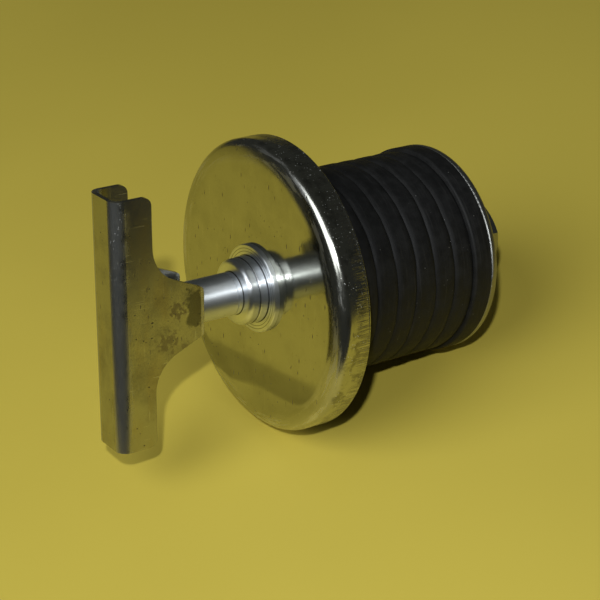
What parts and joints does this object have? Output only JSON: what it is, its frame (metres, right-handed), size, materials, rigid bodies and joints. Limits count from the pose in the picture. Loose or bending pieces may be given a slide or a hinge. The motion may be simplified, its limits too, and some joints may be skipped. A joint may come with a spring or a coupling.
{
  "type": "expanding filler plug",
  "caption": "Deck fill cap with a T-handle whose screw stem squeezes a stack of rubber rings so they grip inside the filler neck.",
  "frame": {"origin": "centre of the seat: the plane of the gasket's lower face, which lands on the filler neck's rim", "axes": "+Z runs along the stem from the seat towards the handle, +X along the T-handle's long side"},
  "size_m": [0.0762, 0.0762, 0.1177],
  "materials": {
    "plated_steel_handle": "zinc plated, bright, scuffed",
    "plated_steel_stem": "zinc plated, bright",
    "plated_steel_cap": "zinc plated, bright, lightly pitted",
    "plated_steel_collar": "zinc plated, turned",
    "plated_steel_end": "zinc plated, bright",
    "plated_steel_nut": "zinc plated",
    "spring_steel": "oiled spring steel",
    "seal_rubber": "matt moulded black",
    "gasket_rubber": "matt black",
    "o_ring_rubber": "greased black"
  },
  "bodies": {
    "cap": {"cap_shell": "plated_steel_cap", "cap_washer": "plated_steel_collar", "bearing_ring": "plated_steel_collar", "stem_o_ring": "o_ring_rubber", "backing_washer": "plated_steel_end", "neck_gasket": "gasket_rubber", "seal_ring_1": "seal_rubber", "seal_ring_2": "seal_rubber", "seal_ring_3": "seal_rubber", "seal_ring_4": "seal_rubber", "seal_ring_5": "seal_rubber", "seal_ring_6": "seal_rubber", "seal_ring_7": "seal_rubber", "seal_ring_8": "seal_rubber", "end_seal_ring": "seal_rubber"},
    "handle": {"t_handle": "plated_steel_handle", "stem": "plated_steel_stem", "stem_welds": "plated_steel_stem", "thrust_collar": "plated_steel_collar", "retaining_clip": "spring_steel"},
    "plate": {"end_plate": "plated_steel_end", "end_washer": "plated_steel_end", "end_nut": "plated_steel_nut", "nut_welds": "plated_steel_nut"}
  },
  "joints": [
    {"name": "handle_turn", "type": "hinge", "parent": "cap", "child": "handle", "pos_m": [0, 0, 0], "axis": [0, 0, 1], "range_deg": [-1080, 0]},
    {"name": "plate_travel", "type": "slide", "parent": "cap", "child": "plate", "axis": [0, 0, 1], "range_m": [0, 0.00544], "deforming": ["seal_ring_1", "seal_ring_2", "seal_ring_3", "seal_ring_4", "seal_ring_5", "seal_ring_6", "seal_ring_7", "seal_ring_8", "end_seal_ring"]}
  ],
  "couplings": [
    {"joint": "plate_travel", "follows": "handle_turn", "m_per_rad": -0.00028875}
  ]
}
